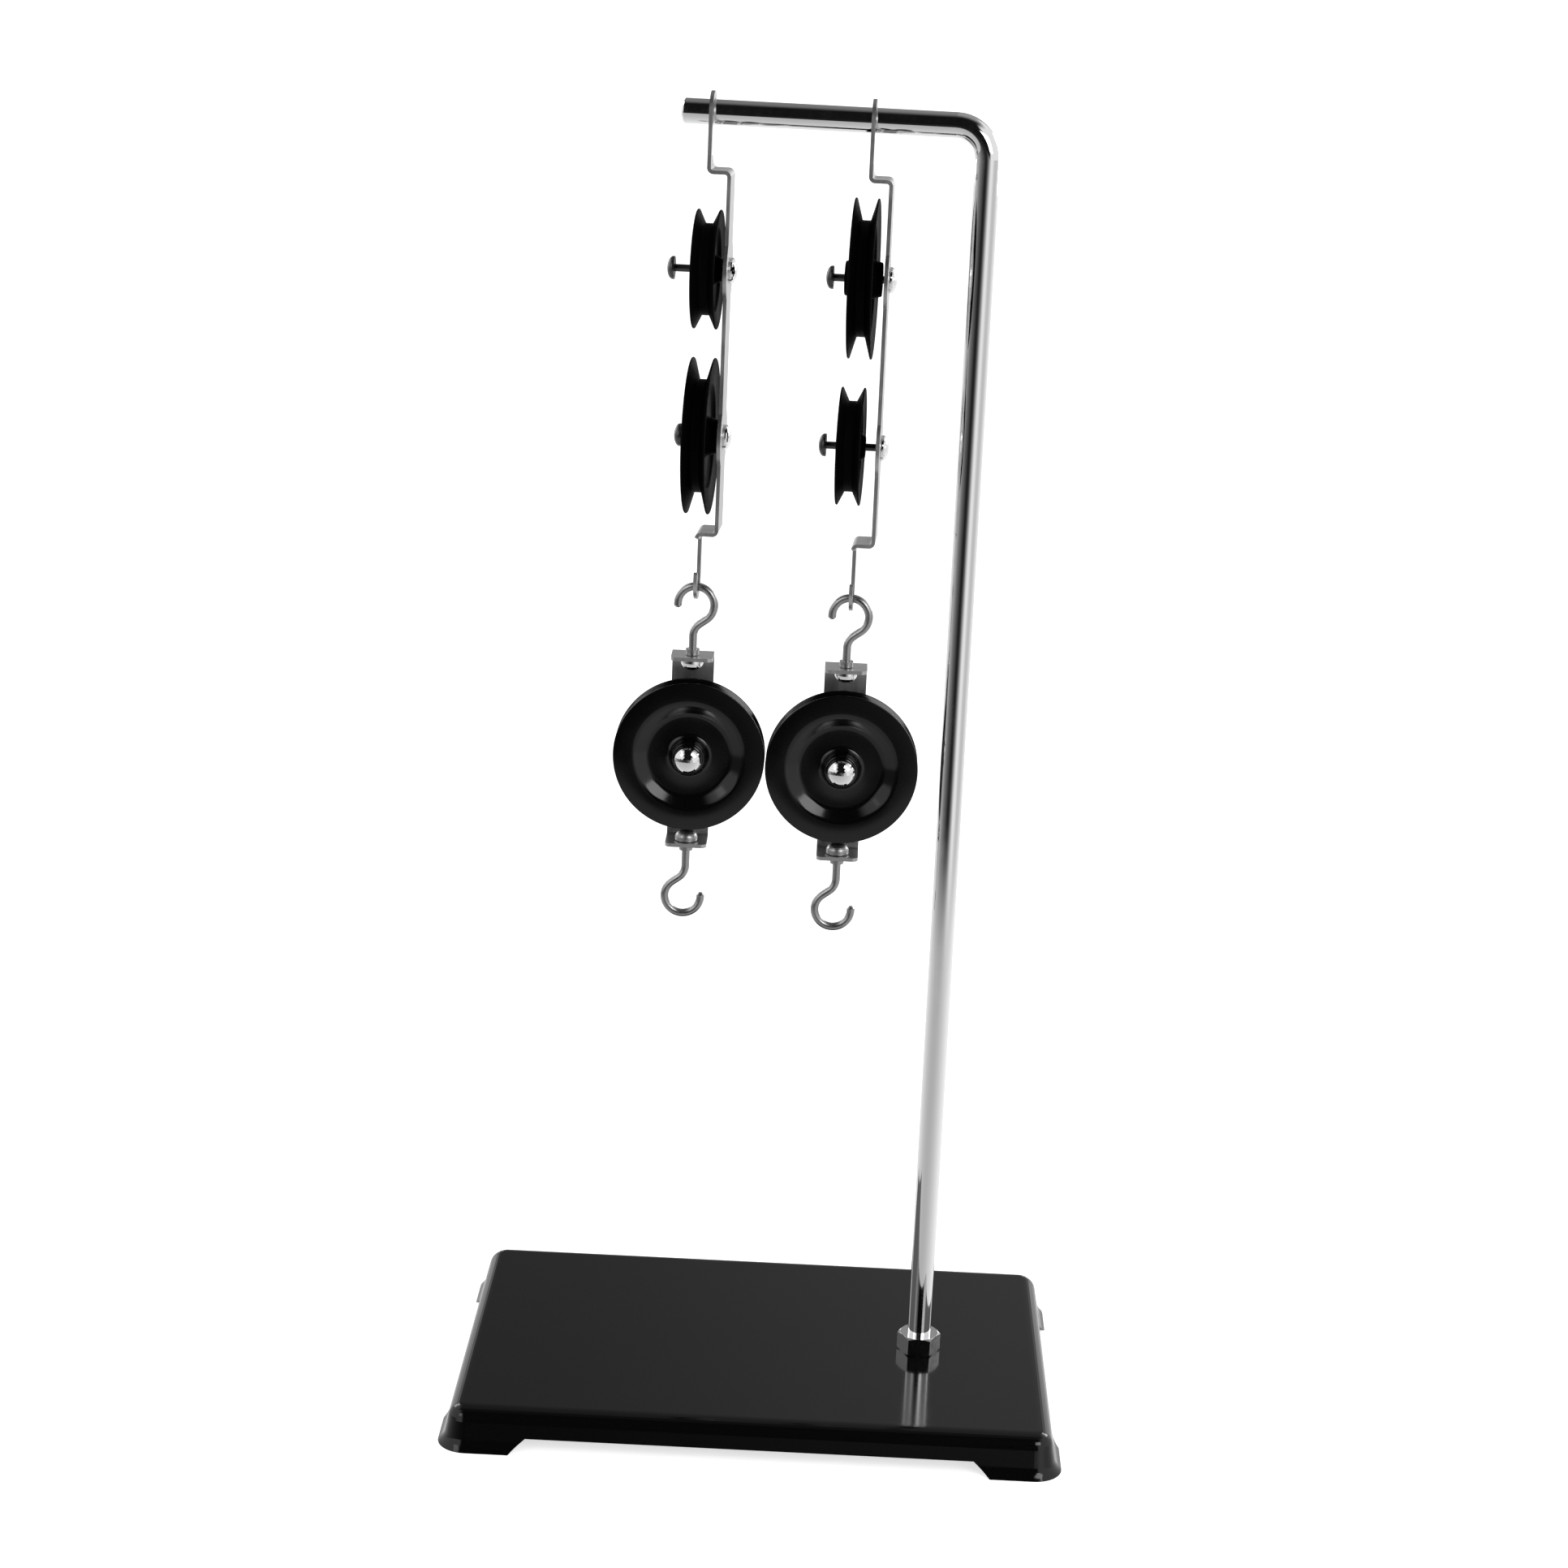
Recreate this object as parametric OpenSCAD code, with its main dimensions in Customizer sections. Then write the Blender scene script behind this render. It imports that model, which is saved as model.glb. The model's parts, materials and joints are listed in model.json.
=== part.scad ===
// Pulley demonstrator for a classroom bench.
// A pressed steel base carries a rod bent into an arm. Two tandem pulleys hook over the arm,
// and a single swivel pulley hangs from the lower hook of each.
// Millimetres, +Z up, origin on the bench under the middle of the base. The arm points to -X.

/* [Base] */
// Length of the base over its feet
base_length = 208.5; // [170:0.5:260]
// Depth of the base over its feet
base_depth = 138; // [115:1:180]
// Height of the base's top face above the bench
base_height = 14; // [12:0.5:20]
// Thickness of the base's pressed sheet
base_sheet = 1.2; // [0.8:0.1:1.6]
// Outer radius of the fold round the top face
base_fold = 5.5; // [2.25:0.25:6]
// Corner radius of the flat top face
base_corner = 1; // [0.5:0.5:10]
// Slope of the skirt, in degrees from vertical
skirt_draft = 11; // [8:1:20]
// Slope of a foot's lip, in degrees from vertical
foot_lip = 42; // [36:1:60]
// Radius of the curve that flares a foot
foot_flare = 8; // [5:0.5:9]
// How far the feet reach below the skirt between them
foot_drop = 5; // [3:0.25:6]
// Length of a foot along each edge of the base
foot_length = 24.3; // [15:0.1:30]
// Run of the slope from a foot up to the skirt
foot_slope = 5.5; // [4:0.5:10]

/* [Rod] */
// Diameter of the bent rod
rod_diameter = 8; // [6:0.5:10]
// Distance of the rod from the middle of the base, toward its right end
rod_place = 56.5; // [30:0.5:70]
// Distance of the rod in front of the base's middle line
rod_front = 3.5; // [0:0.5:20]
// Height of the arm's axis above the top face
arm_rise = 419.5; // [360:0.5:500]
// Radius of the rod's bend, to its axis
rod_bend = 10; // [8:0.5:20]
// Angle by which the arm is turned back from the base's long edge
arm_turn = 8; // [-15:0.5:15]
// Length of arm past the outer hook
arm_end = 9.4; // [6:0.2:20]
// Bevel at the rod's ends
rod_bevel = 0.6; // [0.2:0.1:1]
// Gap between the rod's lower end and the bench
rod_foot_gap = 2.4; // [1:0.2:4]

/* [Nuts] */
// Wall of a nut between its bore and its flats
nut_wall = 2.5; // [2:0.1:4]
// Height of the nut on the top face
nut_height = 6.5; // [4:0.1:8]
// Height of the thin nut under the top face
lock_nut_height = 4; // [3:0.1:5]
// Wall of the washer under the top face
washer_wall = 6; // [4:0.5:10]
// Thickness of the washer
washer_height = 1.6; // [1:0.1:2.4]

/* [Wheels] */
// Diameter of the large wheels
large_diameter = 50.8; // [46:0.2:60]
// Diameter of the small wheels
small_diameter = 38.1; // [34:0.1:44]
// Width of a wheel over its rims
wheel_width = 7.8; // [7:0.1:8.6]
// Depth of the cord groove in a large wheel
large_groove = 7; // [5:0.1:8]
// Depth of the cord groove in a small wheel
small_groove = 4.4; // [3.5:0.1:5.5]
// Width of the groove's floor
groove_floor = 3; // [2.4:0.1:3.4]
// Thickness of the web between the rim and the hub
web_thickness = 3.4; // [2.8:0.1:4]
// Length of a large wheel's hub
large_hub_length = 12; // [11:0.1:12.4]
// Length of a small wheel's hub
small_hub_length = 9.6; // [9:0.1:11]
// Diameter of a large wheel's hub at its ends
large_hub = 11; // [9:0.2:13]
// Diameter of a small wheel's hub at its ends
small_hub = 7.5; // [6.6:0.1:9]
// Least gap between the rims of a tandem pulley's two wheels
wheel_gap = 9.5; // [5:0.5:16]

/* [Frames] */
// Thickness of the stamped frames
frame_sheet = 1.2; // [1:0.1:1.4]
// Width of the stamped frames
frame_width = 14; // [12:0.5:16]
// Inner radius of the bends in the frames
frame_bend = 0.8; // [0.6:0.1:1.2]
// Diameter of the round ear at each axle
ear_diameter = 22; // [18:0.5:26]
// Distance from the hook's plane to the strip that carries the axles
joggle = 6.5; // [6.3:0.1:7.5]
// Gap between a large wheel's rim and the shelf at the end of its tandem frame
shelf_gap = 5.3; // [3:0.1:9]
// Distance from the upper shelf to the centre of the hook above it
hook_reach = 18.2; // [17:0.2:24]
// Distance from the lower shelf to the centre of the hook below it
low_reach = 16.2; // [15:0.2:24]
// Width of the metal round a flat hook
hook_band = 2.4; // [2:0.1:3]
// How far a flat hook's tip comes down past level, in degrees
hook_tip = 20; // [0:1:30]
// Mean gap between a single pulley's rim and the shelves of its frame
strap_gap = 6.2; // [5.8:0.1:9]
// How far a single pulley's axle sits below the middle of its frame
axle_drop = 1.5; // [0:0.1:1.6]
// Distance from a single wheel's middle to its back plate
strap_back = 7.6; // [7.2:0.1:11]
// Distance from a single wheel's middle to the front edge of the shelves
strap_front = 5; // [4.6:0.1:9]
// Turn of a tandem pulley where it hangs on the arm, toward square with the base
tandem_turn = 5; // [0:0.5:6]
// Turn of a single pulley's frame on its swivel
swivel_turn = -8; // [-20:0.5:20]

/* [Axles] */
// Diameter of the axle pins
pin_diameter = 2.4; // [2:0.1:3]
// Reach of a long tandem pin from the strip to its head
pin_reach = 17.1; // [16:0.1:18]
// Diameter of a tandem pin's head
pin_head = 7.4; // [6:0.1:8.4]
// Height of a tandem pin's head
pin_head_height = 2.4; // [1.8:0.1:3]
// Diameter of the dome on the outside of a strip
cap_diameter = 8.4; // [7:0.1:9.6]
// Height of that dome
cap_height = 2.6; // [2:0.1:4]
// Diameter of the dome in front of a single wheel
boss_dome = 9.6; // [8:0.1:11]
// Height of that dome
boss_dome_height = 4.2; // [3:0.1:4.6]
// Distance of the upper and lower wheel of the left tandem pulley from the hook's plane
left_slides = [0, 0.4];
// The same for the right tandem pulley
right_slides = [1, 2.6];

/* [Swivel hooks] */
// Diameter of the hook wire
wire_diameter = 2.7; // [2:0.1:3]
// Radius of the hook's round part, to the wire's axis
ring_radius = 6.1; // [5.4:0.05:7]
// Radius of the bend between the slanting neck and the shank
neck_radius = 5.2; // [4:0.1:6]
// Length of the slanting neck
neck_length = 2.8; // [2.2:0.1:3.4]
// Straight shank of an upper hook above the shelf
upper_shank = 6.5; // [4:0.1:10]
// Straight shank of a lower hook below the shelf
lower_shank = 7.9; // [4:0.1:12]
// Diameter of the collar on the outside of a shelf
collar_diameter = 4.6; // [4:0.1:6]
// Height of the collar
collar_height = 1.8; // [1:0.1:2.4]
// Diameter of the dome that holds the shank inside a shelf
swivel_dome = 7.6; // [6:0.1:9]
// Height of that dome
swivel_dome_height = 3.6; // [3:0.1:4]

/* [Clearances] */
// Radial clearance of a wheel on its pin and of a shank in its hole
running_fit = 0.06; // [0.03:0.01:0.1]
// Radial clearance of fixed pieces on the rod, the pins and the shanks
close_fit = 0.02; // [0.01:0.01:0.04]
// Gap left where one hanging piece rests on another
rest_gap = 0.3; // [0.2:0.05:0.5]
// Gap between the circles that the two single pulleys sweep as they swivel
single_gap = 0.3; // [0.2:0.1:10]
// Gap between the rod and the circle that the inner single pulley sweeps
rod_gap = 5.9; // [2:0.1:20]

/* [Hidden] */

$fn = 72;
ARC_STEPS = 8;
CUTTER_SIZE = 10;
BLACK = "#1a1a1b";
CHROME = "#d0d3d6";
NICKEL = "#8e9092";

rod_r = rod_diameter / 2;
large_r = large_diameter / 2;
small_r = small_diameter / 2;
wire_r = wire_diameter / 2;
pin_r = pin_diameter / 2;
arm_z = base_height + arm_rise;

// The neck of a wire hook slants as the long side of a 3-4-5 triangle
neck_run = 3;
neck_rise = 4;
neck_angle = atan2(neck_rise, neck_run);
neck_reach = ring_radius + neck_radius;
shank_offset = neck_radius + neck_length * sin(neck_angle) - neck_reach * cos(neck_angle);

// The hooks' places along the arm, measured from the rod's axis
swept_r = norm([large_r, wheel_width / 2]);
right_place = rod_r + rod_gap + swept_r + shank_offset;
left_place = right_place + 2 * swept_r + single_gap;
arm_length = left_place + arm_end;

// Heights on a tandem frame, measured from its middle
axle_height = (large_r + small_r + wheel_gap) / 2;
shelf_height = axle_height + large_r + shelf_gap + frame_sheet / 2;
hook_height = shelf_height + hook_reach;
low_hook_height = shelf_height + low_reach;
hook_r = rod_r + rest_gap;
hook_outer_r = hook_r + hook_band;

// Heights on the arm's own scale, zero at its axis
tandem_middle_z = -hook_height;
wire_rest_z = -hook_height - low_hook_height - hook_r + rest_gap + wire_r;
ring_z = wire_rest_z - ring_radius;
neck_drop = neck_reach * sin(neck_angle) + neck_length * cos(neck_angle);
strap_top_z = ring_z - neck_drop - upper_shank;
strap_half = large_r + strap_gap + frame_sheet;
strap_z = strap_top_z - strap_half;
wheel_z = strap_z - axle_drop;

// ---- Profiles ----

function arc(centre, radius, from, to, steps = ARC_STEPS) = [
    for (i = [0:steps]) let (a = from + (to - from) * i / steps) centre + radius * [cos(a), sin(a)]
];

function turned(point, angle) = [
    point[0] * cos(angle) - point[1] * sin(angle),
    point[0] * sin(angle) + point[1] * cos(angle)
];

function backwards(list) = [for (i = [len(list) - 1:-1:0]) list[i]];

// A station on a bent sheet's middle line: a point, and the angle of the normal there
function bend(centre, radius, from, to, turn) = [
    for (i = [0:ARC_STEPS]) let (a = from + (to - from) * i / ARC_STEPS)
        [centre + radius * [cos(a), sin(a)], a + turn]
];

module bent_sheet(line, thickness) {
    near = [for (s = line) s[0] + thickness / 2 * [cos(s[1]), sin(s[1])]];
    far = [for (s = line) s[0] - thickness / 2 * [cos(s[1]), sin(s[1])]];
    polygon(concat(near, backwards(far)));
}

module dome(diameter, height) {
    // A rounded button on a short straight rim
    rim = height / 4;
    curve = [for (a = [0:90 / ARC_STEPS:90]) [diameter / 2 * cos(a), rim + (height - rim) * sin(a)]];
    rotate_extrude() polygon(concat([[0, 0], [diameter / 2, 0]], curve));
}

module bevelled_bar(radius, length, bevel) {
    rotate_extrude()
        polygon([[0, 0], [radius, 0], [radius, length - bevel], [radius - bevel, length], [0, length]]);
}

// ---- Placing ----

// On the upright rod's axis, at a height above the bench
module at_rod(height) {
    translate([rod_place, -rod_front, height])
        children();
}

// On the arm's axis, its X pointing to the rod and its Y to the back
module on_arm(place) {
    at_rod(arm_z)
        rotate([0, 0, -arm_turn])
            translate([-place, 0, 0])
                children();
}

// The middle of a tandem pulley's hook plane, its X along the axles
module on_tandem(place) {
    on_arm(place)
        rotate([0, 0, tandem_turn])
            translate([0, 0, tandem_middle_z])
                children();
}

// The frame of a single pulley: X across its strap, origin on the swivel axis level with the arm
module on_swivel(place) {
    on_arm(place)
        translate([-shank_offset, 0, 0])
            rotate([0, 0, -swivel_turn])
                children();
}

// ---- Stand ----

// Sheet section from the middle of a corner outward and down: fold, sloping skirt, flared lip
function skirt_line() = let (
    fold_r = base_fold - base_sheet / 2,
    flare_r = foot_flare - base_sheet / 2,
    top_z = base_height - base_sheet / 2,
    lip_z = base_sheet / 2 * sin(foot_lip),
    flare_drop = flare_r * (sin(foot_lip) - sin(skirt_draft)),
    fold_end = [base_corner, top_z - fold_r] + fold_r * [cos(skirt_draft), sin(skirt_draft)],
    slope_drop = fold_end[1] - flare_drop - lip_z,
    flare_start = fold_end + slope_drop * [tan(skirt_draft), -1],
    flare_centre = flare_start + flare_r * [cos(skirt_draft), sin(skirt_draft)]
) concat(
    [[[0, top_z], 90]],
    bend([base_corner, top_z - fold_r], fold_r, 90, skirt_draft, 0),
    bend(flare_centre, flare_r, 180 + skirt_draft, 180 + foot_lip, -180),
    [[flare_centre + flare_r * [-cos(foot_lip), -sin(foot_lip)]
        + 2 * base_sheet * [sin(foot_lip), -cos(foot_lip)], foot_lip]]
);

// How far the lip stands out from the middle of a corner, at the bench
function skirt_spread() = let (line = skirt_line(), end = line[len(line) - 2])
    end[0][0] + base_sheet * (cos(foot_lip) / 2 + sin(foot_lip) * tan(foot_lip));

module skirt_section() {
    // The lip is cut level with the bench
    intersection() {
        bent_sheet(skirt_line(), base_sheet);
        square([base_length, base_height]);
    }
}

// Opening between two feet: a flat arch with sloping ends
module foot_arch(span) {
    half = span / 2 - foot_length;
    polygon([[-half, -base_sheet], [-half, 0], [-half + foot_slope, foot_drop],
             [half - foot_slope, foot_drop], [half, 0], [half, -base_sheet]]);
}

module base_plate() {
    inner_x = base_length / 2 - skirt_spread();
    inner_y = base_depth / 2 - skirt_spread();
    color(BLACK) difference() {
        union() {
            translate([-inner_x, -inner_y, base_height - base_sheet])
                cube([2 * inner_x, 2 * inner_y, base_sheet]);
            for (side = [0, 1]) {
                rotate([0, 0, 180 * side]) {
                    translate([inner_x, inner_y, 0])
                        rotate([90, 0, 0])
                            linear_extrude(2 * inner_y) skirt_section();
                    translate([-inner_x, inner_y, 0])
                        rotate([90, 0, 90])
                            linear_extrude(2 * inner_x) skirt_section();
                    translate([inner_x, inner_y, 0])
                        rotate_extrude(angle = 90) skirt_section();
                    translate([-inner_x, inner_y, 0])
                        rotate([0, 0, 90])
                            rotate_extrude(angle = 90) skirt_section();
                }
            }
        }
        translate([0, base_depth / 2, 0])
            rotate([90, 0, 0])
                linear_extrude(base_depth) foot_arch(base_length);
        translate([-base_length / 2, 0, 0])
            rotate([90, 0, 90])
                linear_extrude(base_length) foot_arch(base_depth);
        at_rod(0)
            cylinder(r = rod_r + running_fit, h = base_height + base_sheet);
    }
}

module stand_rod() {
    color(CHROME) on_arm(0) {
        translate([0, 0, -rod_bend])
            rotate([180, 0, 0])
                bevelled_bar(rod_r, arm_z - rod_bend - rod_foot_gap, rod_bevel);
        translate([-rod_bend, 0, -rod_bend])
            rotate([90, 0, 0])
                rotate_extrude(angle = 90)
                    translate([rod_bend, 0]) circle(r = rod_r);
        translate([-rod_bend, 0, 0])
            rotate([0, -90, 0])
                bevelled_bar(rod_r, arm_length - rod_bend, rod_bevel);
    }
}

module hex_nut(height) {
    flats_r = rod_r + nut_wall;
    corner_r = flats_r / cos(30);
    chamfer = (corner_r - flats_r) * tan(30) + rod_bevel / 2;
    difference() {
        intersection() {
            cylinder(r = corner_r, h = height, $fn = 6);
            rotate_extrude()
                polygon([[0, 0], [flats_r, 0], [corner_r + rod_bevel, chamfer],
                         [corner_r + rod_bevel, height - chamfer], [flats_r, height], [0, height]]);
        }
        translate([0, 0, -height])
            cylinder(r = rod_r + close_fit, h = 3 * height);
    }
}

module base_nut() {
    color(CHROME)
        at_rod(base_height) hex_nut(nut_height);
}

module base_washer() {
    color(CHROME)
        at_rod(base_height - base_sheet - washer_height)
            difference() {
                cylinder(r = rod_r + washer_wall, h = washer_height);
                translate([0, 0, -washer_height])
                    cylinder(r = rod_r + running_fit, h = 3 * washer_height);
            }
}

module base_lock_nut() {
    color(CHROME)
        at_rod(base_height - base_sheet - washer_height - lock_nut_height) hex_nut(lock_nut_height);
}

// ---- Wheels ----

// Half of a wheel's section from its bore to the groove, as [radius, distance from the middle]
function wheel_half(rim_r, groove, hub_r, hub_half) = let (
    half = wheel_width / 2,
    web = web_thickness / 2,
    hub_round = 0.6,
    hub_fillet = 1.8,
    dish_fillet = 1.6,
    dish_edge = 0.5,
    dish_lean = 20,
    rim_wall = 1.3,
    flange_bow = 0.8,
    lip = 0.32,
    lip_turn = -60,
    floor_round = 0.5,
    floor_r = rim_r - groove,
    dish_r = floor_r - rim_wall,
    face = half - flange_bow
) concat(
    [[pin_r + running_fit, hub_half]],
    arc([hub_r - hub_round, hub_half - hub_round], hub_round, 90, 0),
    arc([hub_r + hub_fillet + hub_round, web + hub_fillet], hub_fillet, 180, 270),
    arc([dish_r - dish_fillet, web + dish_fillet], dish_fillet, 270, 360 - dish_lean),
    arc([dish_r + dish_edge, face - dish_edge], dish_edge, 180 - dish_lean, 90),
    [for (u = [1 / 3, 2 / 3]) [dish_r + (rim_r - dish_r) * u, face + flange_bow * u * u]],
    arc([rim_r - lip, half - lip], lip, 90, lip_turn),
    arc([floor_r + floor_round, groove_floor / 2 - floor_round], floor_round, 90, 180)
);

module wheel(half_section) {
    other_half = [for (p = backwards(half_section)) [p[0], -p[1]]];
    color(BLACK)
        rotate_extrude() polygon(concat(half_section, other_half));
}

module large_wheel() {
    wheel(wheel_half(large_r, large_groove, large_hub / 2, large_hub_length / 2));
}

module small_wheel() {
    wheel(wheel_half(small_r, small_groove, small_hub / 2, small_hub_length / 2));
}

// ---- Tandem pulleys ----

// The strip seen from its edge: hook plane, shelf, strip, shelf, hook plane
function tandem_line() = let (
    r = frame_bend + frame_sheet / 2,
    spare = hook_outer_r + frame_sheet,
    s = shelf_height
) concat(
    [[[0, hook_height + spare], 0]],
    bend([r, s + r], r, 180, 270, -180),
    bend([joggle - r, s - r], r, 90, 0, 0),
    bend([joggle - r, -s + r], r, 0, -90, 0),
    bend([r, -s - r], r, 90, 180, -180),
    [[[0, -low_hook_height - spare], 0]]
);

// Flat hook that opens downward behind, with the tongue that widens to the shelf
module hook_outline(height) {
    band_r = hook_band / 2;
    sweep_r = frame_width / 2 + hook_r;
    neck = height - shelf_height;
    sweep_z = -neck + sweep_r + frame_sheet;
    reach = 2 * hook_outer_r;
    tip_flank = 1.2 * band_r;
    tip_start = 20;
    round_tip = concat(
        [[hook_r + band_r - tip_flank, 0]],
        arc([hook_r + band_r, 0], band_r, 180 + tip_start, 360 - tip_start),
        [[hook_r + band_r + tip_flank, 0], [reach, 0]]
    );
    difference() {
        union() {
            circle(r = hook_outer_r);
            polygon(concat(
                [[-hook_outer_r, 0], [-frame_width / 2, -neck], [frame_width / 2, -neck]],
                arc([frame_width / 2, sweep_z], sweep_r, 270, 180),
                [[-hook_r, 0]]
            ));
        }
        circle(r = hook_r);
        polygon(concat(
            [[0, 0]],
            [for (p = round_tip) turned(p, -hook_tip)],
            [[reach, -reach], [-hook_r, -reach], [-hook_r, 0]]
        ));
    }
}

module tandem_outline() {
    square([frame_width, 2 * shelf_height + frame_sheet], center = true);
    for (end = [[0, hook_height], [180, low_hook_height]]) {
        rotate([0, 0, end[0]]) {
            translate([0, axle_height]) circle(d = ear_diameter);
            translate([0, end[1]]) hook_outline(end[1]);
        }
    }
}

module tandem_frame(place) {
    color(NICKEL) on_tandem(place)
        difference() {
            intersection() {
                translate([0, ear_diameter / 2, 0])
                    rotate([90, 0, 0])
                        linear_extrude(ear_diameter) bent_sheet(tandem_line(), frame_sheet);
                translate([-joggle, 0, 0])
                    rotate([90, 0, 90])
                        linear_extrude(3 * joggle) tandem_outline();
            }
            for (side = [-1, 1]) {
                translate([0, 0, side * axle_height])
                    rotate([0, 90, 0])
                        cylinder(r = pin_r + close_fit, h = 2 * joggle);
            }
        }
}

// Puts a child on an axle of a tandem pulley, its own Z turned along the axle toward the rod
module on_axle(place, side) {
    on_tandem(place)
        translate([0, 0, side * axle_height])
            rotate([0, 90, 0])
                children();
}

module tandem_pin(place, side, reach) {
    color(NICKEL) on_axle(place, side)
        translate([0, 0, joggle - reach]) {
            cylinder(r = pin_r, h = reach + frame_sheet / 2 + cap_height / 2);
            rotate([180, 0, 0]) dome(pin_head, pin_head_height);
        }
}

module tandem_cap(place, side) {
    color(CHROME) on_axle(place, side)
        translate([0, 0, joggle + frame_sheet / 2])
            difference() {
                dome(cap_diameter, cap_height);
                translate([0, 0, -cap_height])
                    cylinder(r = pin_r + close_fit, h = 1.5 * cap_height + close_fit);
            }
}

// The left lower pin is cut short: its head sits just off the hub
short_reach = joggle + left_slides[1] + large_hub_length / 2 + rest_gap;

module left_tandem_frame() { tandem_frame(left_place); }
module left_upper_pin() { tandem_pin(left_place, 1, pin_reach); }
module left_upper_cap() { tandem_cap(left_place, 1); }
module left_upper_wheel() {
    on_axle(left_place, 1) translate([0, 0, -left_slides[0]]) small_wheel();
}
module left_lower_pin() { tandem_pin(left_place, -1, short_reach); }
module left_lower_cap() { tandem_cap(left_place, -1); }
module left_lower_wheel() {
    on_axle(left_place, -1) translate([0, 0, -left_slides[1]]) large_wheel();
}

module right_tandem_frame() { tandem_frame(right_place); }
module right_upper_pin() { tandem_pin(right_place, 1, pin_reach); }
module right_upper_cap() { tandem_cap(right_place, 1); }
module right_upper_wheel() {
    on_axle(right_place, 1) translate([0, 0, -right_slides[0]]) large_wheel();
}
module right_lower_pin() { tandem_pin(right_place, -1, pin_reach); }
module right_lower_cap() { tandem_cap(right_place, -1); }
module right_lower_wheel() {
    on_axle(right_place, -1) translate([0, 0, -right_slides[1]]) small_wheel();
}

// ---- Single pulleys ----

module wire_ring(radius) {
    rotate_extrude() translate([radius, 0]) circle(r = wire_r);
}

// Prism that cuts a wire ring, from one direction in the plane to another
module cutter(corners) {
    translate([0, 0, -wire_diameter])
        linear_extrude(2 * wire_diameter) polygon(concat([[0, 0]], CUTTER_SIZE * corners));
}

// Wire hook in the XZ plane, its round part centred at the origin, its shank running down
module wire_hook(shank) {
    slant = [-neck_run, -neck_rise];
    rotate([90, 0, 0])
        rotate([0, 0, -neck_angle]) {
            difference() {
                wire_ring(ring_radius);
                cutter([slant, [neck_rise, -neck_rise], [neck_rise, 0]]);
            }
            rotate([0, 0, 180 + neck_angle])
                translate([ring_radius, 0])
                    rotate([-90, 0, 0])
                        bevelled_bar(wire_r, wire_r, wire_r / 2);
            translate([ring_radius, 0])
                rotate([90, 0, 0])
                    cylinder(r = wire_r, h = neck_length);
            translate([neck_reach, -neck_length]) {
                intersection() {
                    wire_ring(neck_radius);
                    cutter([[-neck_rise, 0], [-neck_rise, -neck_rise], slant]);
                }
                rotate([0, 0, 180 + neck_angle])
                    translate([neck_radius, 0])
                        rotate([-90, 0, 0])
                            cylinder(r = wire_r, h = shank);
            }
        }
}

// Length of shank hidden in the shelf and in the dome inside it
function shank_tail() = frame_sheet + rest_gap + swivel_dome_height / 2;

module swivel_collar() {
    color(CHROME)
        difference() {
            cylinder(d = collar_diameter, h = collar_height);
            translate([0, 0, -collar_height])
                cylinder(r = wire_r + close_fit, h = 3 * collar_height);
        }
}

// Domed end of a shank, its flat face upward against the shelf
module swivel_end() {
    color(CHROME)
        rotate([180, 0, 0])
            difference() {
                dome(swivel_dome, swivel_dome_height);
                translate([0, 0, -swivel_dome_height])
                    cylinder(r = wire_r + close_fit, h = 1.5 * swivel_dome_height + close_fit);
            }
}

module top_hook(place) {
    color(NICKEL) on_arm(place)
        translate([0, 0, ring_z]) wire_hook(upper_shank + shank_tail());
}

module top_collar(place) {
    on_arm(place)
        translate([-shank_offset, 0, strap_top_z + rest_gap]) swivel_collar();
}

module top_dome(place) {
    on_arm(place)
        translate([-shank_offset, 0, strap_top_z - frame_sheet - rest_gap]) swivel_end();
}

// The lower hook and its collar and dome are the upper ones turned over
module at_bottom_shelf(place) {
    on_swivel(place)
        translate([0, 0, strap_top_z - 2 * strap_half])
            rotate([0, 180, 0])
                children();
}

module bottom_hook(place) {
    color(NICKEL) at_bottom_shelf(place)
        translate([shank_offset, 0, neck_drop + lower_shank]) wire_hook(lower_shank + shank_tail());
}

module bottom_collar(place) {
    at_bottom_shelf(place)
        translate([0, 0, rest_gap]) swivel_collar();
}

module bottom_dome(place) {
    at_bottom_shelf(place)
        translate([0, 0, -frame_sheet - rest_gap]) swivel_end();
}

// Side view of a single pulley's strap: shelf, back plate, shelf, as [distance back, height]
function strap_line() = let (
    r = frame_bend + frame_sheet / 2,
    z = strap_half - frame_sheet / 2
) concat(
    [[[-strap_front, z], 90]],
    bend([strap_back - r, z - r], r, 90, 0, 0),
    bend([strap_back - r, -z + r], r, 0, -90, 0),
    [[[-strap_front, -z], -90]]
);

module single_frame(place) {
    corner = 2;
    color(NICKEL) on_swivel(place)
        translate([0, 0, strap_z])
            difference() {
                union() {
                    intersection() {
                        translate([-frame_width / 2, 0, 0])
                            rotate([90, 0, 90])
                                linear_extrude(frame_width) bent_sheet(strap_line(), frame_sheet);
                        translate([0, 0, -strap_half])
                            linear_extrude(2 * strap_half) {
                                translate([-frame_width / 2, -strap_front + corner])
                                    square([frame_width, strap_front + strap_back]);
                                translate([-frame_width / 2 + corner, -strap_front])
                                    square([frame_width - 2 * corner, corner]);
                                for (side = [-1, 1])
                                    translate([side * (frame_width / 2 - corner), -strap_front + corner])
                                        circle(r = corner);
                            }
                    }
                    translate([0, strap_back + frame_sheet / 2, -axle_drop])
                        rotate([90, 0, 0])
                            cylinder(d = ear_diameter, h = frame_sheet);
                }
                translate([0, 0, -2 * strap_half])
                    cylinder(r = wire_r + running_fit, h = 4 * strap_half);
                translate([0, 2 * strap_back, -axle_drop])
                    rotate([90, 0, 0])
                        cylinder(r = pin_r + close_fit, h = 2 * strap_back);
            }
}

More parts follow.
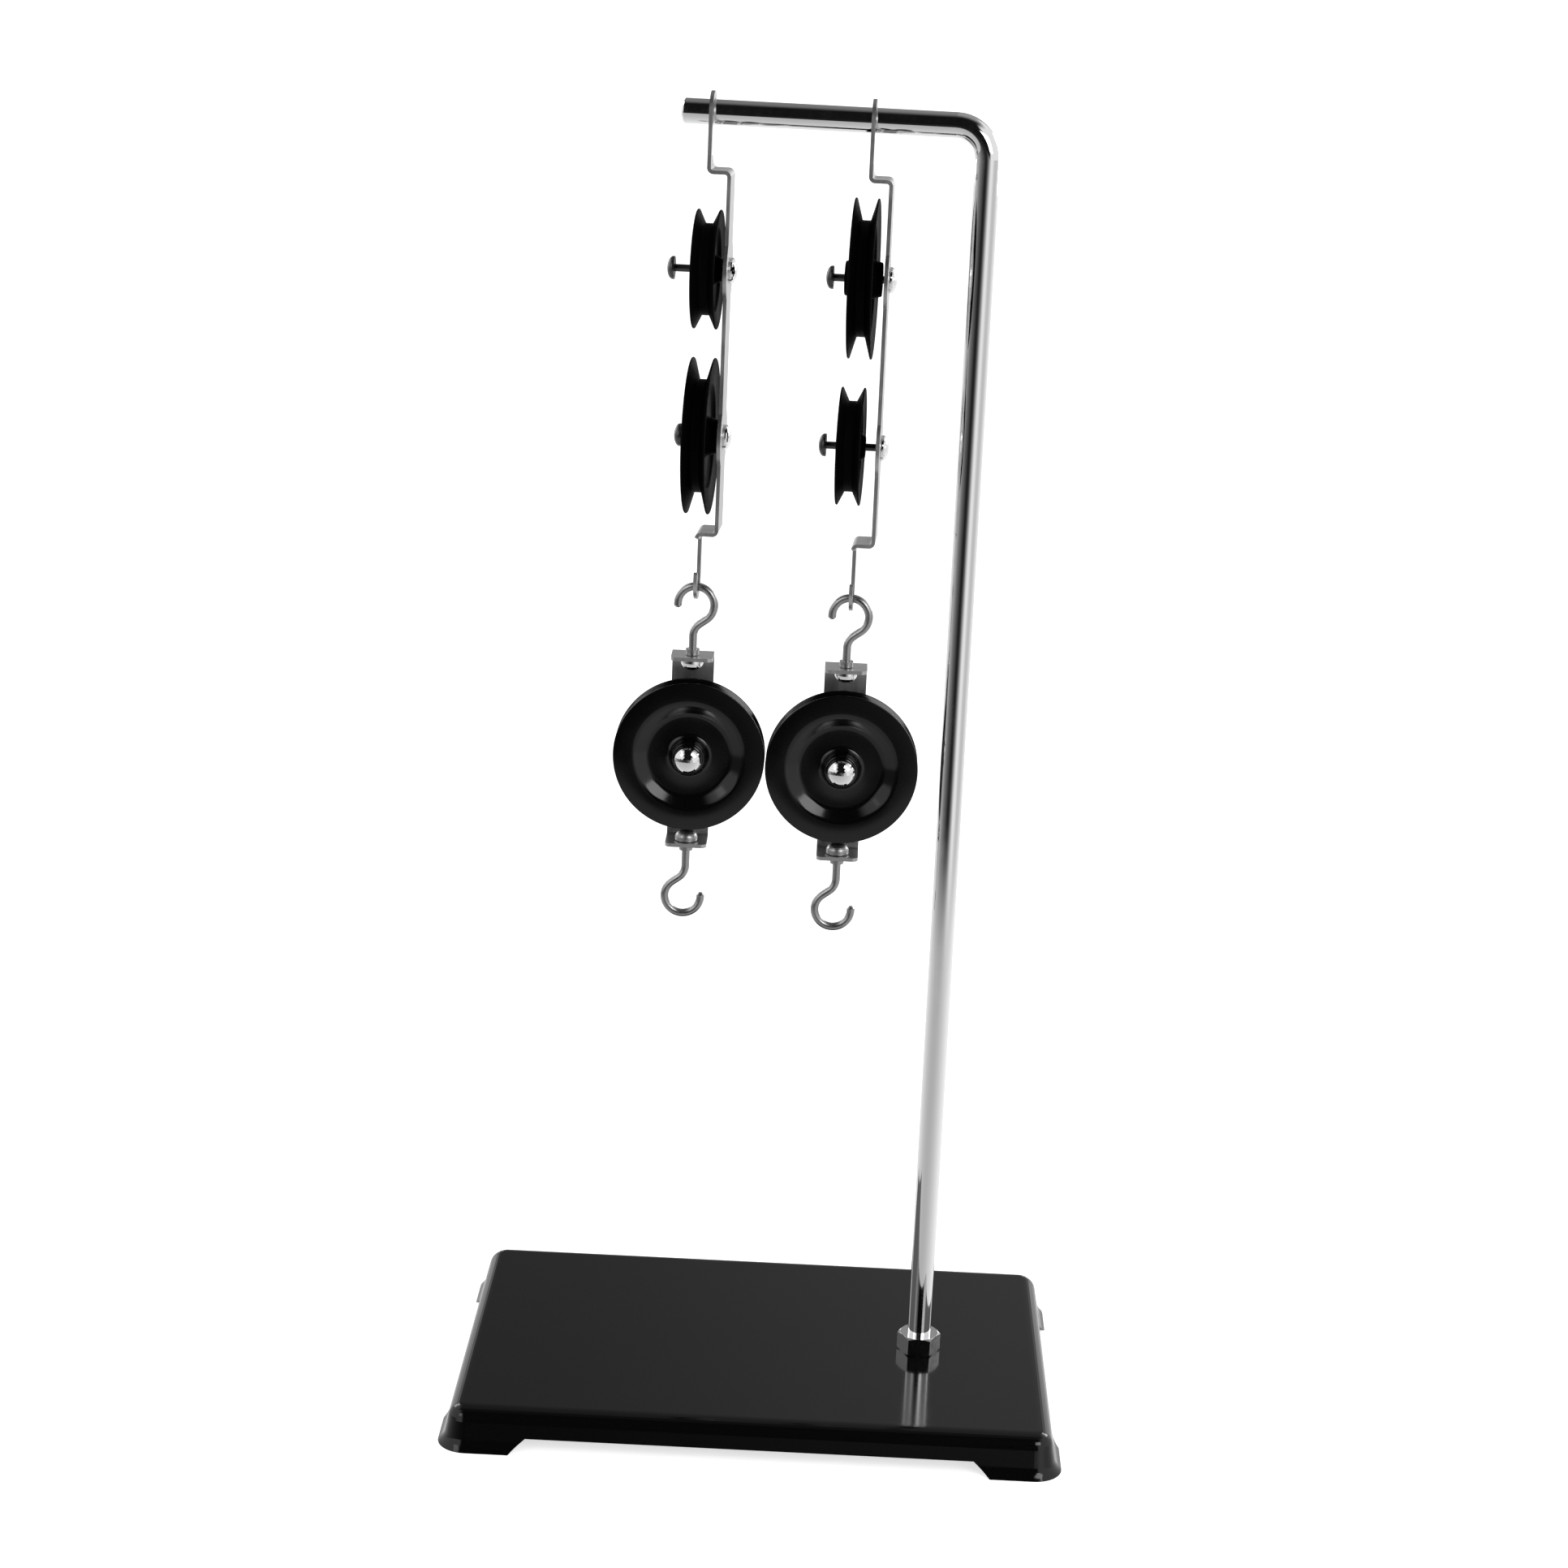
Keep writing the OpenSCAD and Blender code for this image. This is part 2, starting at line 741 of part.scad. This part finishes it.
// Puts a child on a single pulley's axle, its own Z turned toward the front
module on_single_axle(place) {
    on_swivel(place)
        translate([0, 0, wheel_z])
            rotate([90, 0, 0])
                children();
}

module single_pin(place) {
    back = strap_back + frame_sheet / 2;
    front = large_hub_length / 2 + rest_gap + boss_dome_height / 2;
    color(NICKEL) on_single_axle(place)
        translate([0, 0, -back]) {
            cylinder(r = pin_r, h = back + front);
            rotate([180, 0, 0]) dome(pin_head, pin_head_height);
        }
}

module single_dome(place) {
    color(CHROME) on_single_axle(place)
        translate([0, 0, large_hub_length / 2 + rest_gap])
            difference() {
                dome(boss_dome, boss_dome_height);
                translate([0, 0, -boss_dome_height])
                    cylinder(r = pin_r + close_fit, h = 1.5 * boss_dome_height + close_fit);
            }
}

module single_wheel(place) {
    on_single_axle(place) large_wheel();
}

module left_top_hook() { top_hook(left_place); }
module left_top_collar() { top_collar(left_place); }
module left_top_dome() { top_dome(left_place); }
module left_single_frame() { single_frame(left_place); }
module left_single_pin() { single_pin(left_place); }
module left_single_dome() { single_dome(left_place); }
module left_single_wheel() { single_wheel(left_place); }
module left_bottom_hook() { bottom_hook(left_place); }
module left_bottom_collar() { bottom_collar(left_place); }
module left_bottom_dome() { bottom_dome(left_place); }

module right_top_hook() { top_hook(right_place); }
module right_top_collar() { top_collar(right_place); }
module right_top_dome() { top_dome(right_place); }
module right_single_frame() { single_frame(right_place); }
module right_single_pin() { single_pin(right_place); }
module right_single_dome() { single_dome(right_place); }
module right_single_wheel() { single_wheel(right_place); }
module right_bottom_hook() { bottom_hook(right_place); }
module right_bottom_collar() { bottom_collar(right_place); }
module right_bottom_dome() { bottom_dome(right_place); }

base_plate();
stand_rod();
base_nut();
base_washer();
base_lock_nut();
left_tandem_frame();
left_upper_pin();
left_upper_cap();
left_upper_wheel();
left_lower_pin();
left_lower_cap();
left_lower_wheel();
right_tandem_frame();
right_upper_pin();
right_upper_cap();
right_upper_wheel();
right_lower_pin();
right_lower_cap();
right_lower_wheel();
left_top_hook();
left_top_collar();
left_top_dome();
left_single_frame();
left_single_pin();
left_single_dome();
left_single_wheel();
left_bottom_hook();
left_bottom_collar();
left_bottom_dome();
right_top_hook();
right_top_collar();
right_top_dome();
right_single_frame();
right_single_pin();
right_single_dome();
right_single_wheel();
right_bottom_hook();
right_bottom_collar();
right_bottom_dome();
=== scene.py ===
"""Looks of a pulley demonstrator: a pressed black base, a bent chrome rod and hanging pulleys.

Metres, +Z up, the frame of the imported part. The camera looks along +Y.
"""
import json
from math import cos, pi, radians, sin

import bmesh
import bpy
from mathutils import Matrix, Vector


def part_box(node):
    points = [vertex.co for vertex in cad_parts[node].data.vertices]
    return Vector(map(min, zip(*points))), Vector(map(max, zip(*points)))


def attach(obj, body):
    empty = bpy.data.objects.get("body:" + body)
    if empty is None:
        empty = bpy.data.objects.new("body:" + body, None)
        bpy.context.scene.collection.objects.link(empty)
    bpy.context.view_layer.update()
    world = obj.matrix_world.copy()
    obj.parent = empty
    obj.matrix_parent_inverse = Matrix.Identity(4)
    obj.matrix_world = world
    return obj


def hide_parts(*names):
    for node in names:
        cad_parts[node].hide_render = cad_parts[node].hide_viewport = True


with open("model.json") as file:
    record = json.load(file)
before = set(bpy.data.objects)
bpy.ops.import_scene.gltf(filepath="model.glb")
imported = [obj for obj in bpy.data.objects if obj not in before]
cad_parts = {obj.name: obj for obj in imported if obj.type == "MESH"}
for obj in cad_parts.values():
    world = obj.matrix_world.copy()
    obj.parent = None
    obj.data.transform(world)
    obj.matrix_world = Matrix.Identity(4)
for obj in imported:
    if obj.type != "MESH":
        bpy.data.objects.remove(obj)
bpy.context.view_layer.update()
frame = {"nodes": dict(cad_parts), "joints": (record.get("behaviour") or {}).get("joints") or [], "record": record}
scene = bpy.context.scene
nodes = frame["nodes"]
MM = 0.001

# ---- Camera: fitted to the base's edges, the rod, the arm and the wheels of the photograph ----

PHOTO_SIDE = 1932
FOCAL_PIXELS = 3813
SENSOR = 36
CLIP_NEAR, CLIP_FAR = 0.01, 200
CAMERA_PLACE = Vector((0.01582, -0.9906, 0.5011))
CAMERA_PITCH = radians(16.056)
CAMERA_ROLL = radians(-2.463)
CAMERA_YAW = radians(-0.85)


def make_camera():
    ahead = Vector((sin(CAMERA_YAW), cos(CAMERA_YAW), 0))
    forward = cos(CAMERA_PITCH) * ahead - Vector((0, 0, sin(CAMERA_PITCH)))
    level = Vector((cos(CAMERA_YAW), -sin(CAMERA_YAW), 0))
    above = level.cross(forward)
    right = cos(CAMERA_ROLL) * level - sin(CAMERA_ROLL) * above
    up = sin(CAMERA_ROLL) * level + cos(CAMERA_ROLL) * above
    data = bpy.data.cameras.new("camera")
    data.sensor_width = SENSOR
    data.lens = FOCAL_PIXELS / PHOTO_SIDE * SENSOR
    data.clip_start = CLIP_NEAR
    data.clip_end = CLIP_FAR
    camera = bpy.data.objects.new("camera", data)
    turn = Matrix((right, up, -forward)).transposed().to_4x4()
    camera.matrix_world = Matrix.Translation(CAMERA_PLACE) @ turn
    scene.collection.objects.link(camera)
    scene.camera = camera


# ---- Node helpers ----

class Shader:
    """A material or world tree with short calls for its nodes."""

    def __init__(self, tree):
        self.tree = tree
        tree.nodes.clear()

    def node(self, kind, **settings):
        made = self.tree.nodes.new("ShaderNode" + kind)
        for name, value in settings.items():
            setattr(made, name, value)
        return made

    def put(self, socket, value):
        if isinstance(value, bpy.types.NodeSocket):
            self.tree.links.new(value, socket)
        else:
            socket.default_value = value

    def math(self, operation, a, b=0.0):
        made = self.node("Math", operation=operation)
        self.put(made.inputs[0], a)
        self.put(made.inputs[1], b)
        return made.outputs[0]

    def span(self, value, low, high, to_low=0.0, to_high=1.0):
        """value mapped smoothly from low..high to to_low..to_high."""
        made = self.node("MapRange", interpolation_type="SMOOTHSTEP")
        for name, given in (("Value", value), ("From Min", low), ("From Max", high),
                            ("To Min", to_low), ("To Max", to_high)):
            self.put(made.inputs[name], given)
        return made.outputs["Result"]

    def mix(self, factor, a, b):
        """Plain numbers or grey sockets a and b blended by factor."""
        made = self.node("Mix", data_type="FLOAT")
        self.put(made.inputs[0], factor)
        self.put(made.inputs[2], a)
        self.put(made.inputs[3], b)
        return made.outputs[0]

    def blend(self, factor, a, b):
        """Colours a and b blended by factor."""
        made = self.node("Mix", data_type="RGBA")
        self.put(made.inputs[0], factor)
        self.put(made.inputs[6], a)
        self.put(made.inputs[7], b)
        return made.outputs[2]

    def noise(self, scale, detail=2.0, stretch=(1, 1, 1)):
        """Grey noise in the part's own millimetres."""
        place = self.node("TexCoord").outputs["Object"]
        fitted = self.node("Mapping")
        self.put(fitted.inputs["Vector"], place)
        fitted.inputs["Scale"].default_value = [s / MM for s in stretch]
        made = self.node("TexNoise")
        self.put(made.inputs["Vector"], fitted.outputs[0])
        made.inputs["Scale"].default_value = scale
        made.inputs["Detail"].default_value = detail
        return made.outputs["Fac"]


# ---- Studio ----

FLOOR_SIZE = 60
FLOOR_COLOUR = (0.93, 0.93, 0.93, 1)
FLOOR_SPECK = (0.916, 0.916, 0.916, 1)
FLOOR_GLOW = 0.65

# Brightness of the world for the camera, and for light that lands on dull surfaces
WORLD_SEEN = 1.0
WORLD_FILL = 0.7

# What a mirror on the part sees, split by the angle above the horizon.
# From the horizon down to FLOOR_EDGE: degrees from the camera's side toward the right, and the
# brightness there
PANELS = [(-180, 0.95), (-123, 0.7), (-99, 0.45), (-81, 0.3), (-64, 0.17), (-48, 0.1), (-34, 0.05),
          (-18, 0.01), (-4, 0.03), (8, 0.16), (20, 0.45), (33, 0.8), (48, 0.8), (64, 0.58),
          (81, 0.52), (99, 0.6), (123, 0.8), (180, 0.95)]
FLOOR_EDGE = (-19.5, -16.5)
# Farther down, the white floor: its level straight below, and its rise toward the right and the back
FLOOR_LEVEL = 0.7
FLOOR_RISE = (0.1, 0.25)
# Above the horizon, a bright wall low at the back, a dim one over it, and dark toward the camera
HORIZON = (-3, 0)
WALL_LOW = 1.4
WALL_TOP = (6, 14)
SKY_BACK = (0.17, 0.3)
SKY_BACK_TURN = (-0.12, 0.1)
SKY_FRONT = 0.006
SKY_FRONT_TURN = (-0.35, 0.35)
# White screens at both sides, up to this height
SCREEN = 0.8
SCREEN_SIDE = (0.33, 0.5)
SCREEN_TOP = (45, 62)

# Softboxes: name, place, width, height and radiance
LAMPS = [
    ("softbox_left", (-0.85, -0.75, 0.85), 0.4, 0.6, 1.2),
    ("softbox_right", (0.62, -0.85, 0.75), 0.5, 0.55, 3.5),
    ("strip_left", (-0.78, 0.7, 0.55), 0.3, 0.5, 3),
    ("strip_right", (0.8, 0.7, 0.55), 0.3, 0.5, 5),
]
LAMP_TARGET = Vector((0, 0, 0.15))


def make_world():
    world = bpy.data.worlds.new("studio")
    scene.world = world
    world.use_nodes = True
    s = Shader(world.node_tree)
    way = s.node("TexCoord").outputs["Generated"]
    parts = s.node("SeparateXYZ")
    s.put(parts.inputs[0], way)
    x, y, z = parts.outputs

    def over(angles, low=0.0, high=1.0):
        """A step from low to high between two angles above the horizon."""
        return s.span(z, sin(radians(angles[0])), sin(radians(angles[1])), low, high)

    around = s.math("ARCTAN2", x, s.math("MULTIPLY", y, -1.0))
    share = s.math("ADD", s.math("MULTIPLY", around, 0.5 / pi), 0.5)
    ramp = s.node("ValToRGB")
    s.put(ramp.inputs[0], share)
    stops = ramp.color_ramp.elements
    for angle, level in PANELS[1:-1]:
        stops.new(angle / 360 + 0.5)
    for stop, (angle, level) in zip(stops, PANELS):
        stop.position = angle / 360 + 0.5
        stop.color = (level, level, level, 1)
    floor = s.math("ADD", s.math("MULTIPLY", x, FLOOR_RISE[0]), s.math("MULTIPLY", y, FLOOR_RISE[1]))
    floor = s.math("ADD", floor, FLOOR_LEVEL)
    low = s.mix(over(FLOOR_EDGE), floor, ramp.outputs[0])
    dim = s.span(x, *SKY_BACK_TURN, *SKY_BACK)
    wall = s.mix(over(WALL_TOP), WALL_LOW, dim)
    sky = s.mix(s.span(y, *SKY_FRONT_TURN), SKY_FRONT, wall)
    beside = s.span(s.math("ABSOLUTE", x), *SCREEN_SIDE)
    sky = s.mix(s.math("MULTIPLY", beside, over(SCREEN_TOP, 1.0, 0.0)), sky, SCREEN)
    seen = s.mix(over(HORIZON), low, sky)
    path = s.node("LightPath")
    mirrored = s.math("MAXIMUM", path.outputs["Is Glossy Ray"], path.outputs["Is Transmission Ray"])
    plain = s.mix(path.outputs["Is Camera Ray"], WORLD_FILL, WORLD_SEEN)
    background = s.node("Background")
    s.put(background.inputs["Color"], s.mix(mirrored, plain, seen))
    s.put(s.node("OutputWorld").inputs[0], background.outputs[0])


def make_lamp(name, place, width, height, radiance):
    data = bpy.data.lights.new(name, "AREA")
    data.shape = "RECTANGLE"
    data.size, data.size_y = width, height
    data.energy = radiance * pi * width * height
    lamp = bpy.data.objects.new(name, data)
    lamp.location = place
    lamp.rotation_euler = (LAMP_TARGET - Vector(place)).to_track_quat("-Z", "Y").to_euler()
    lamp.visible_camera = False
    scene.collection.objects.link(lamp)


def make_floor():
    """White paper that stays white to the camera, with a light shadow. Mirrors see the world instead."""
    material = bpy.data.materials.new("floor")
    material.use_nodes = True
    s = Shader(material.node_tree)
    paper = s.node("BsdfDiffuse")
    s.put(paper.inputs["Color"], s.blend(s.noise(0.05, 3.0), FLOOR_SPECK, FLOOR_COLOUR))
    glow = s.node("Emission")
    seen = s.node("LightPath").outputs["Is Camera Ray"]
    s.put(glow.inputs["Strength"], s.math("MULTIPLY", seen, FLOOR_GLOW))
    both = s.node("AddShader")
    s.put(both.inputs[0], paper.outputs[0])
    s.put(both.inputs[1], glow.outputs[0])
    s.put(s.node("OutputMaterial").inputs[0], both.outputs[0])
    half = FLOOR_SIZE / 2
    mesh = bpy.data.meshes.new("floor")
    corners = [(-half, -half, 0), (half, -half, 0), (half, half, 0), (-half, half, 0)]
    mesh.from_pydata(corners, [], [[0, 1, 2, 3]])
    mesh.materials.append(material)
    piece = bpy.data.objects.new("floor", mesh)
    piece.visible_glossy = False
    scene.collection.objects.link(piece)


# ---- Materials ----

# Noise runs from about 0.3 to 0.7
NOISE_RANGE = (0.3, 0.7)
ENAMEL_TINTS = ((0.0018, 0.0018, 0.0019, 1), (0.0027, 0.0025, 0.0025, 1))
BLACK = 0.0015
WORN_SPECULAR = 0.03
EVEN = (1, 1, 1)
LONG = (1, 1, 0.04)
STRIP_GRAIN = (1, 1, 0.06)


def surface(name, slot, colour, metallic, roughness, build):
    """A principled material whose sockets hold its mean values, which build then varies."""
    material = bpy.data.materials.new(name)
    material.use_nodes = True
    s = Shader(material.node_tree)
    shader = s.node("BsdfPrincipled")
    shader.inputs["Metallic"].default_value = metallic
    shader.inputs["Base Color"].default_value = (*colour, 1)
    shader.inputs["Roughness"].default_value = roughness
    build(s, shader)
    s.put(s.node("OutputMaterial").inputs[0], shader.outputs[0])
    material["slot"] = slot
    return material


def bump(s, shader, height, depth):
    """A relief of depth millimetres."""
    made = s.node("Bump")
    made.inputs["Strength"].default_value = 1.0
    made.inputs["Distance"].default_value = depth * MM
    s.put(made.inputs["Height"], height)
    s.put(shader.inputs["Normal"], made.outputs[0])


def enamel(s, shader):
    """Sprayed gloss enamel: a slow orange peel, a little haze and dust."""
    haze = s.noise(0.02, 4.0)
    s.put(shader.inputs["Base Color"], s.blend(haze, *ENAMEL_TINTS))
    s.put(shader.inputs["Roughness"], s.span(haze, *NOISE_RANGE, 0.07, 0.11))
    bump(s, shader, s.noise(0.35, 2.0), 0.002)


def plate(low, high, grain, scale=1.0):
    """Plated metal: drawn or rolled grain along the piece, with a clouded sheen."""
    def build(s, shader):
        drawn = s.noise(scale, 3.0, grain)
        cloud = s.noise(0.15, 3.0)
        sheen = s.mix(0.5, drawn, cloud)
        s.put(shader.inputs["Roughness"], s.span(sheen, *NOISE_RANGE, low, high))
        bump(s, shader, drawn, 0.0015)
    return build


def moulded(low, high):
    """Moulded plastic with slow flow marks, a little scuffed."""
    def build(s, shader):
        flow = s.noise(0.12, 3.0)
        scuff = s.noise(1.6, 4.0)
        sheen = s.mix(0.4, flow, scuff)
        s.put(shader.inputs["Roughness"], s.span(sheen, *NOISE_RANGE, low, high))
        bump(s, shader, flow, 0.004)
    return build


# Material slot of the record: name, colour, metallic, mean roughness and what varies it
FINISHES = {
    "base_paint": ("enamel_black", (0.0022,) * 3, 0, 0.1, enamel),
    "rod_chrome": ("chrome_rod", (0.93, 0.93, 0.94), 1, 0.06, plate(0.03, 0.09, LONG)),
    "nut_chrome": ("chrome_nut", (0.88, 0.88, 0.89), 1, 0.1, plate(0.06, 0.16, EVEN)),
    "dome_chrome": ("chrome_dome", (0.95,) * 3, 1, 0.05, plate(0.03, 0.08, EVEN)),
    "strip_nickel": ("nickel_strip", (0.55,) * 3, 1, 0.4, plate(0.32, 0.45, STRIP_GRAIN, 2)),
    "wire_nickel": ("nickel_wire", (0.40,) * 3, 1, 0.3, plate(0.22, 0.36, EVEN, 2)),
    "pin_nickel": ("nickel_pin", (0.11,) * 3, 1, 0.35, plate(0.28, 0.42, EVEN, 2)),
    "wheel_plastic": ("plastic_black", (BLACK,) * 3, 0, 0.14, moulded(0.09, 0.15)),
}


def make_materials():
    return {slot: surface(name, slot, *look) for slot, (name, *look) in FINISHES.items()}


def make_worn_and_shaded_materials():
    """Rougher, duller plastic for the tandem pulleys' wheels, and a darker copy of the dome chrome for the hooks'
    collars and lower domes, which is painted shade.
    """
    worn = surface("plastic_worn", "wheel_plastic", (BLACK,) * 3, 0, 0.55, moulded(0.5, 0.62))
    shader = worn.node_tree.nodes["Principled BSDF"]
    shader.inputs["Specular IOR Level"].default_value = WORN_SPECULAR
    # Painted shade: the dome chrome darkened from 0.95 to 0.4 (and made rougher) so the collars and lower domes
    # render darker
    shaded_chrome = surface("chrome_painted_shade", "dome_chrome", (0.4,) * 3, 1, 0.35, plate(0.28, 0.42, EVEN, 2))
    made = {}
    for side in ("left", "right"):
        made.update({side + "_" + end + "_wheel": worn for end in ("upper", "lower")})
        made.update({side + "_" + end: shaded_chrome for end in ("bottom_dome", "bottom_collar", "top_collar")})
    return made


# worn also carries the painted-shade chrome of the hooks' collars and lower domes
def dress_nodes(materials, worn):
    for row in frame["record"]["subparts"]:
        piece = nodes[row["node"]]
        piece.data.materials.clear()
        piece.data.materials.append(worn.get(row["node"], materials[row["material_slot"]]))


# ---- Single wheels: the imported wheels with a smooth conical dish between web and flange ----

# Millimetres and degrees. R is a radius from the axis, HALF a reach from the wheel's middle
BORE = 1.26
HUB_R = 5.5
HUB_HALF = 6
HUB_ROUND = 0.6
HUB_FILLET = 1.8
WEB_HALF = 1.7
WHEEL_HALF = 3.9
CONE_TILT = 28
CONE_BEND = 4
CONE_FOOT = 13.2
CONE_TOP = 19.33
RIM_R = 25.4
RIM_LIP = 0.32
FLANGE_TURN = -60
GROOVE_R = 18.4
GROOVE_HALF = 1.5
GROOVE_ROUND = 0.5
LATHE_STEPS = 120
CREASE = radians(35)


def arc(centre, radius, start, end, steps=8):
    """Points of an arc from start to end degrees."""
    angles = [radians(start + (end - start) * k / steps) for k in range(steps + 1)]
    return [(centre[0] + radius * cos(a), centre[1] + radius * sin(a)) for a in angles]


def wheel_section():
    """The wheel's half section, from the bore outward and back again."""
    half = [(BORE, HUB_HALF)]
    half += arc((HUB_R - HUB_ROUND, HUB_HALF - HUB_ROUND), HUB_ROUND, 90, 0)
    half += arc((HUB_R + HUB_ROUND + HUB_FILLET, WEB_HALF + HUB_FILLET), HUB_FILLET, 180, 270)
    half += arc((CONE_FOOT, WEB_HALF + CONE_BEND), CONE_BEND, 270, 270 + CONE_TILT)
    half += arc((CONE_TOP, WHEEL_HALF - CONE_BEND), CONE_BEND, 90 + CONE_TILT, 90)
    half += arc((RIM_R - RIM_LIP, WHEEL_HALF - RIM_LIP), RIM_LIP, 90, FLANGE_TURN)
    half += arc((GROOVE_R + GROOVE_ROUND, GROOVE_HALF - GROOVE_ROUND), GROOVE_ROUND, 90, 180)
    return half + [(r, -h) for r, h in reversed(half)]


def make_single_wheel(side, material):
    node, body = side + "_single_wheel", side + "_single_wheel_body"
    low, high = (Vector(corner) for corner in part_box(node))
    axis = next(Vector(j["axis"]) for j in frame["joints"] if j["child"] == body).normalized()
    across = axis.cross(Vector((0, 0, 1))).normalized()
    up = across.cross(axis)
    section = wheel_section()
    count = len(section)
    points, faces = [], []
    for step in range(LATHE_STEPS):
        turn = 2 * pi * step / LATHE_STEPS
        out = across * cos(turn) + up * sin(turn)
        points += [(low + high) / 2 + (out * r + axis * h) * MM for r, h in section]
        here, there = step * count, (step + 1) % LATHE_STEPS * count
        faces += [[here + k, here + (k + 1) % count, there + (k + 1) % count, there + k]
                  for k in range(count)]
    mesh = bpy.data.meshes.new(side + "_dished_wheel")
    mesh.from_pydata(points, [], faces)
    tidy = bmesh.new()
    tidy.from_mesh(mesh)
    bmesh.ops.recalc_face_normals(tidy, faces=tidy.faces)
    tidy.to_mesh(mesh)
    tidy.free()
    mesh.shade_smooth()
    mesh.set_sharp_from_angle(angle=CREASE)
    mesh.materials.append(material)
    piece = bpy.data.objects.new(mesh.name, mesh)
    scene.collection.objects.link(piece)
    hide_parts(node)
    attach(piece, body)


make_camera()
make_world()
make_floor()
for lamp in LAMPS:
    make_lamp(*lamp)
scene.view_settings.view_transform = "Standard"
finishes = make_materials()
dress_nodes(finishes, make_worn_and_shaded_materials())
for side in ("left", "right"):
    make_single_wheel(side, finishes["wheel_plastic"])
